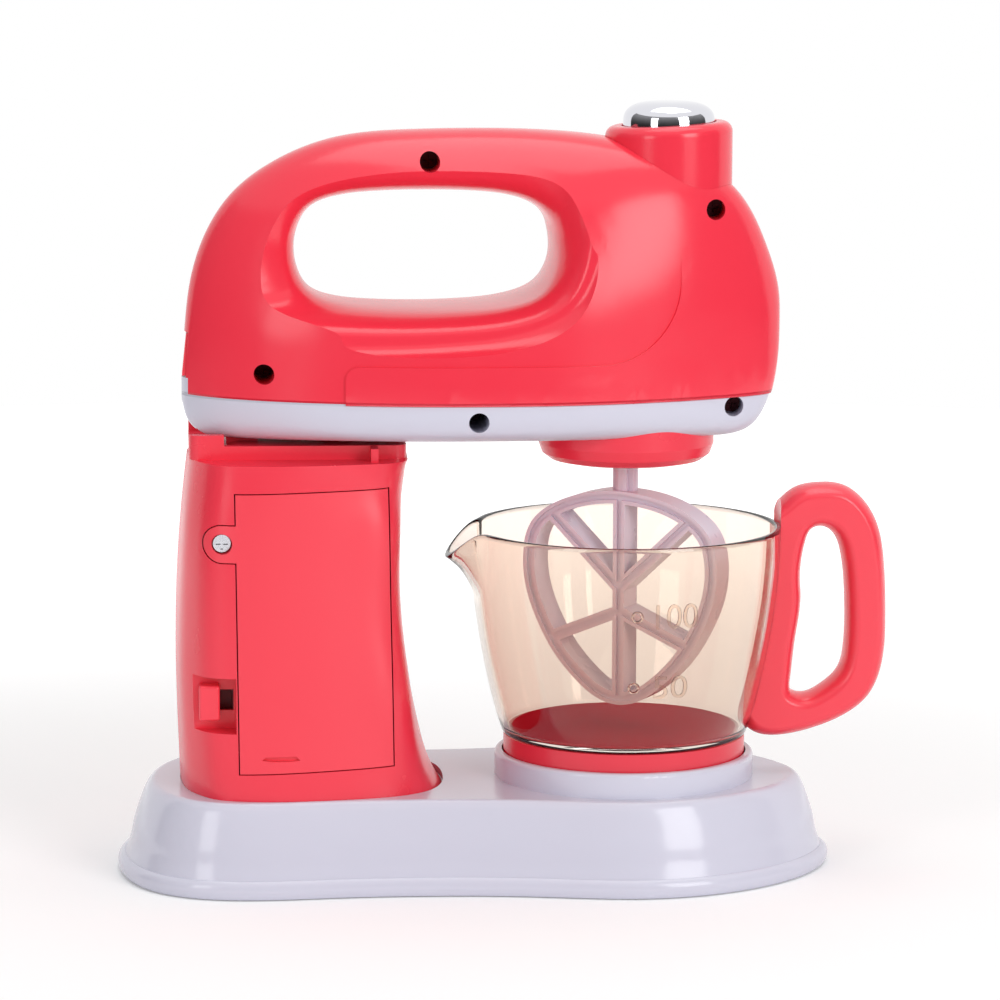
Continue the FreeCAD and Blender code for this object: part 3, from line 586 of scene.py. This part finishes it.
# The wall's section at an angle: under the floor, up the outside, over the rim and down inside
def wallColumn(angle):
    def turned(radius, z):
        return Vector((bowlWall["axis"] - radius * math.cos(angle), radius * math.sin(angle), z))

    def wallRows(low, inset):
        middle, top = bowlWall["middle"], rimHeight(angle, inset)
        lowRows, highRows = bowlWall["lowRows"], bowlWall["highRows"]
        heights = [low + (middle - low) * i / lowRows for i in range(lowRows)]
        heights += [middle + (top - middle) * i / highRows for i in range(highRows + 1)]
        return [wallPoint(angle, z, inset) for z in heights]

    column = [turned(radius, z) for radius, z in bowlWall["outerCorner"]]
    column += wallRows(bowlWall["side"][0][0], 0.0)
    inside = wallRows(bowlWall["innerCorner"][0][1], bowlWall["thickness"])[1:]
    edge = column[-1]
    for share in bowlWall["rimShares"]:
        point = edge.lerp(inside[-1], share)
        point.z += bowlWall["rimBulge"] * (1 - (2 * share - 1) ** 4)
        column.append(point)
    return column + inside[::-1] + [turned(radius, z) for radius, z in bowlWall["innerCorner"]]


# Closed form from columns of points around an axis, on which they all start and end
def formOfColumns(columns):
    count, inner = len(columns), len(columns[0]) - 2
    points = [columns[0][0], columns[0][-1]]
    faces = []
    for i, column in enumerate(columns):
        points += column[1:-1]
        here, there = 2 + i * inner, 2 + (i + 1) % count * inner
        faces.append((0, there, here))
        faces.append((1, here + inner - 1, there + inner - 1))
        faces += [(here + k, there + k, there + k + 1, here + k + 1) for k in range(inner - 1)]
    mesh = bpy.data.meshes.new("columns")
    mesh.from_pydata(points, [], faces)
    bm = bmesh.new()
    bm.from_mesh(mesh)
    bpy.data.meshes.remove(mesh)
    bmesh.ops.recalc_face_normals(bm, faces=bm.faces)
    return bm


def buildBowlWall():
    count = bowlWall["columns"]
    bm = formOfColumns([wallColumn(2 * math.pi * i / count - math.pi) for i in range(count)])
    for face in bm.faces:
        face.smooth = True
    piece = addPiece("bowl_wall", bm, bowlClear)
    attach(piece, "bowl")
    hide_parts("bowl")


buildBowlWall()
print("bowl wall built")


# The chrome push button with one smooth crown, in place of the node's plainer profile

buttonCap = {
    "axis": 0.0416,
    "radius": 0.0114,
    "crownBase": 0.1859,
    "crownHeight": 0.0062,
    "squareness": 3.2,
    "crownSteps": 40,
    "inside": [  # radius and height, from the skirt's foot to the end of the stem
        (0.0114, 0.1796),
        (0.01, 0.1796),
        (0.01, 0.1871),
        (0.0086, 0.1899),
        (0.003, 0.1901),
        (0.003, 0.172),
        (0.0, 0.172),
    ],
    "columns": 160,
}


def buildButtonCap():
    power = 2 / buttonCap["squareness"]
    profile = []
    for step in range(buttonCap["crownSteps"] + 1):
        angle = math.pi / 2 * step / buttonCap["crownSteps"]
        rise = max(0.0, math.cos(angle)) ** power
        radius = buttonCap["radius"] * math.sin(angle) ** power
        profile.append((radius, buttonCap["crownBase"] + buttonCap["crownHeight"] * rise))
    shownRows = len(profile)
    profile += buttonCap["inside"]
    columns = []
    for i in range(buttonCap["columns"]):
        turn = 2 * math.pi * i / buttonCap["columns"]
        east, north = math.cos(turn), math.sin(turn)
        columns.append([(buttonCap["axis"] + radius * east, radius * north, z) for radius, z in profile])
    bm = formOfColumns(columns)
    inner = len(profile) - 2
    shown = {0} | {2 + i * inner + k for i in range(len(columns)) for k in range(shownRows)}
    for face in bm.faces:
        face.smooth = all(vert.index in shown for vert in face.verts)
    piece = addPiece("button_cap", bm, chromePlate)
    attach(piece, "button")
    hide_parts("chrome_button")


buildButtonCap()
print("button cap built")


# Raised measuring marks on the bowl's near wall

marks = {
    "sink": 0.00012,
    "rise": 0.00045,
    "figures": [  # text, left, right, bottom, top
        ("100", 0.0353, 0.0457, 0.0661, 0.0723),
        ("50", 0.035, 0.0435, 0.0483, 0.0541),
    ],
    "rings": [(0.0307, 0.0692), (0.0302, 0.0511)],
    "ringRadius": 0.0012,
    "ringThickness": 0.00035,
    "ringSides": 10,
    "ringSteps": 28,
    "curveSteps": 6,
    "weld": 0.00001,
}


# Lays a flat form on the near wall. Its own Z is the share of the marks' height.
def bendOnBowl(bm):
    for vert in bm.verts:
        x, z, out = vert.co
        radius = bowlRadius(z)
        angle = math.asin((x - bowlWall["axis"]) / radius)
        radius += out * marks["rise"] - marks["sink"]
        vert.co = (bowlWall["axis"] + radius * math.sin(angle), -radius * math.cos(angle), z)


def figureMesh(text, left, right, bottom, top):
    curve = bpy.data.curves.new("figure " + text, "FONT")
    curve.body = text
    curve.extrude = 0.5
    curve.resolution_u = marks["curveSteps"]
    lettering = addObject("figure " + text, curve)
    bpy.context.view_layer.update()
    mesh = bpy.data.meshes.new_from_object(lettering)
    bpy.data.objects.remove(lettering)
    bpy.data.curves.remove(curve)
    bm = bmesh.new()
    bm.from_mesh(mesh)
    bpy.data.meshes.remove(mesh)
    low = Vector([min(v.co[i] for v in bm.verts) for i in range(3)])
    high = Vector([max(v.co[i] for v in bm.verts) for i in range(3)])
    for vert in bm.verts:
        u, v, w = [(vert.co[i] - low[i]) / (high[i] - low[i]) for i in range(3)]
        vert.co = (left + (right - left) * u, bottom + (top - bottom) * v, w)
    return bm


def buildMarks():
    whole = bmesh.new()
    mesh = bpy.data.meshes.new("one mark")
    for text, left, right, bottom, top in marks["figures"]:
        bm = figureMesh(text, left, right, bottom, top)
        bmesh.ops.remove_doubles(bm, verts=bm.verts, dist=marks["weld"])
        bendOnBowl(bm)
        bm.to_mesh(mesh)
        bm.free()
        whole.from_mesh(mesh)
    for x, z in marks["rings"]:
        bm = bmesh.new()
        circle = bmesh.ops.create_circle(bm, segments=marks["ringSides"], radius=marks["ringThickness"])
        profile = circle["verts"]
        bmesh.ops.translate(bm, vec=(marks["ringRadius"], 0, 0), verts=profile)
        bmesh.ops.rotate(bm, cent=(0, 0, 0), matrix=Matrix.Rotation(math.pi / 2, 3, "X"), verts=profile)
        bmesh.ops.spin(
            bm,
            geom=list(bm.verts) + list(bm.edges),
            cent=(0, 0, 0),
            axis=(0, 0, 1),
            angle=2 * math.pi,
            steps=marks["ringSteps"],
            use_merge=True,
        )
        for vert in bm.verts:
            vert.co = (vert.co.x + x, vert.co.y + z, vert.co.z / marks["rise"])
        bendOnBowl(bm)
        bm.to_mesh(mesh)
        bm.free()
        whole.from_mesh(mesh)
    bpy.data.meshes.remove(mesh)
    bmesh.ops.recalc_face_normals(whole, faces=whole.faces)
    piece = addPiece("bowl_marks", whole, bowlClear)
    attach(piece, "bowl")


# The red floor inside the bowl, a disc darker than the red foot: painted shade of the dim light under the
# glass

bowlFloor = {
    "radius": 0.0284,
    "height": 0.03506,
    "thickness": 0.0002,
    "bevel": 0.00008,
    "bevelFrom": 1.0,
    "segments": 96,
    # colour: the foot's red darkened as painted shade
    "colour": (182, 26, 44),
    "gloss": 0.6,
}


def buildBowlFloor():
    bm = bmesh.new()
    bmesh.ops.create_cone(
        bm,
        cap_ends=True,
        segments=bowlFloor["segments"],
        radius1=bowlFloor["radius"],
        radius2=bowlFloor["radius"],
        depth=bowlFloor["thickness"],
    )
    bmesh.ops.translate(bm, vec=(bowlWall["axis"], 0, bowlFloor["height"]), verts=bm.verts)
    inside = [edge for edge in bm.edges if not edge.is_boundary]
    edges = [edge for edge in inside if edge.calc_face_angle(0.0) > bowlFloor["bevelFrom"]]
    bmesh.ops.bevel(
        bm,
        geom=edges,
        offset=bowlFloor["bevel"],
        segments=1,
        profile=0.5,
        affect="EDGES",
        material=-1,
    )
    bmesh.ops.recalc_face_normals(bm, faces=bm.faces)
    red = plastic("red bowl floor in painted shade", bowlFloor["colour"], gloss=bowlFloor["gloss"])
    red.node_tree.nodes["Principled BSDF"].inputs["Specular IOR Level"].default_value = 0.0
    piece = addPiece("bowl_floor", bm, red)
    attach(piece, "bowl")


buildMarks()
buildBowlFloor()
print("bowl marks and floor built")


# Stage: pale floor, soft lamps, white surround

stage = {
    "floorRadius": 0.9,
    "floorSegments": 96,
    "floorDrop": 0.0003,
    "floorTone": 0.9,
    "floorRoughness": 0.9,
    "floorSheen": 0.1,
    "floorLift": 0.14,
    "farLift": 0.6,
    "liftFrom": 0.14,
    "liftTo": 0.6,
    "skyLight": 0.5,
    "lampAim": (0.0, 0.0, 0.09),
}


# 1 on the rays that show the pale surround: from the camera, off gloss and through glass
def rayKinds(tree):
    path = addNode(tree, "ShaderNodeLightPath")
    seen = mathNode(tree, "ADD", path.outputs["Is Camera Ray"], path.outputs["Is Glossy Ray"], clamp=True)
    return mathNode(tree, "ADD", seen, path.outputs["Is Transmission Ray"], clamp=True)


def buildFloor():
    bm = bmesh.new()
    bmesh.ops.create_circle(bm, cap_ends=True, segments=stage["floorSegments"], radius=stage["floorRadius"])
    bmesh.ops.translate(bm, vec=(0, 0, -stage["floorDrop"]), verts=bm.verts)
    material, tree, shader = plainMaterial("pale floor")
    shader.inputs["Base Color"].default_value = (*[stage["floorTone"]] * 3, 1.0)
    shader.inputs["Roughness"].default_value = stage["floorRoughness"]
    shader.inputs["Specular IOR Level"].default_value = stage["floorSheen"]
    glow = addNode(tree, "ShaderNodeEmission")
    place = addNode(tree, "ShaderNodeTexCoord")
    distance = addNode(tree, "ShaderNodeVectorMath", operation="LENGTH")
    tree.links.new(place.outputs["Object"], distance.inputs[0])
    lift = addNode(tree, "ShaderNodeMapRange", interpolation_type="SMOOTHSTEP")
    lift.inputs["From Min"].default_value = stage["liftFrom"]
    lift.inputs["From Max"].default_value = stage["liftTo"]
    lift.inputs["To Min"].default_value = stage["floorLift"]
    lift.inputs["To Max"].default_value = stage["farLift"]
    tree.links.new(distance.outputs["Value"], lift.inputs["Value"])
    tree.links.new(mathNode(tree, "MULTIPLY", rayKinds(tree), lift.outputs[0]), glow.inputs["Strength"])
    both = addNode(tree, "ShaderNodeAddShader")
    tree.links.new(shader.outputs[0], both.inputs[0])
    tree.links.new(glow.outputs[0], both.inputs[1])
    tree.links.new(both.outputs[0], tree.nodes["Material Output"].inputs["Surface"])
    floor = addPiece("floor", bm, material)


def buildSurround():
    world = bpy.data.worlds.new("white surround")
    bpy.context.scene.world = world
    world.use_nodes = True
    tree = world.node_tree
    background = tree.nodes["Background"]
    background.inputs["Color"].default_value = (1.0, 1.0, 1.0, 1.0)
    extra = mathNode(tree, "MULTIPLY", rayKinds(tree), 1.0 - stage["skyLight"])
    tree.links.new(mathNode(tree, "ADD", extra, stage["skyLight"]), background.inputs["Strength"])


lamps = {
    "key": {"place": (0.78, -1.15, 0.55), "size": (0.62, 0.9), "watts": 8.9},
    "fill": {"place": (-0.9, -1.0, 0.45), "size": (0.42, 0.7), "watts": 3.0},
    "top": {"place": (0.1, 0.1, 1.5), "size": (1.1, 1.1), "watts": 7.5},
}


def buildLamps():
    for label, settings in lamps.items():
        data = bpy.data.lights.new(label, "AREA")
        data.shape = "RECTANGLE"
        data.size, data.size_y = settings["size"]
        data.energy = settings["watts"]
        lamp = addObject(label, data)
        lamp.location = settings["place"]
        aim = Vector(stage["lampAim"]) - Vector(settings["place"])
        lamp.rotation_euler = aim.to_track_quat("-Z", "Y").to_euler()


# Dark studio curtain in front and to the sides, paler towards its top, seen only in reflections

curtain = {
    "radius": 1.55,
    "low": -0.5,
    "high": 1.25,
    "from": -118.0,
    "to": 98.0,
    "steps": 40,
    "tone": 0.03,
    "topTone": 0.5,
    "fadeFrom": 0.1,
}


def buildCurtain():
    bm = bmesh.new()
    low = bm.verts.new((0, -curtain["radius"], curtain["low"]))
    high = bm.verts.new((0, -curtain["radius"], curtain["high"]))
    edge = bm.edges.new((low, high))
    start = Matrix.Rotation(math.radians(curtain["from"]), 3, "Z")
    bmesh.ops.rotate(bm, cent=(0, 0, 0), matrix=start, verts=[low, high])
    bmesh.ops.spin(
        bm,
        geom=[low, high, edge],
        cent=(0, 0, 0),
        axis=(0, 0, 1),
        angle=math.radians(curtain["to"] - curtain["from"]),
        steps=curtain["steps"],
    )
    material, tree, shader = plainMaterial("dark curtain")
    place = addNode(tree, "ShaderNodeTexCoord")
    parts = addNode(tree, "ShaderNodeSeparateXYZ")
    tree.links.new(place.outputs["Object"], parts.inputs[0])
    fade = addNode(tree, "ShaderNodeMapRange")
    fade.inputs["From Min"].default_value = curtain["fadeFrom"]
    fade.inputs["From Max"].default_value = curtain["high"]
    fade.inputs["To Min"].default_value = curtain["tone"]
    fade.inputs["To Max"].default_value = curtain["topTone"]
    tree.links.new(parts.outputs["Z"], fade.inputs["Value"])
    tree.links.new(fade.outputs[0], shader.inputs["Base Color"])
    shader.inputs["Roughness"].default_value = 1.0
    shader.inputs["Specular IOR Level"].default_value = 0.0
    piece = addPiece("curtain", bm, material)
    piece.visible_camera = False
    piece.visible_diffuse = False
    piece.visible_transmission = False
    piece.visible_shadow = False


buildFloor()
buildSurround()
buildLamps()
buildCurtain()
print("stage built")


viewpoint = {
    "place": (-0.08276, -1.10068, 0.26219),
    "target": (0.0, 0.0, 0.0925),
    "lens": 160.8,
    "sensor": 36.0,
    "roll": 0.2,
}
cameraData = bpy.data.cameras.new("camera")
cameraData.lens = viewpoint["lens"]
cameraData.sensor_width = viewpoint["sensor"]
camera = addObject("camera", cameraData)
sight = Vector(viewpoint["target"]) - Vector(viewpoint["place"])
turn = sight.to_track_quat("-Z", "Y").to_matrix().to_4x4()
roll = Matrix.Rotation(math.radians(viewpoint["roll"]), 4, "Z")
camera.matrix_world = Matrix.Translation(viewpoint["place"]) @ turn @ roll
bpy.context.scene.camera = camera
bpy.context.scene.view_settings.view_transform = "Standard"
print("camera placed")
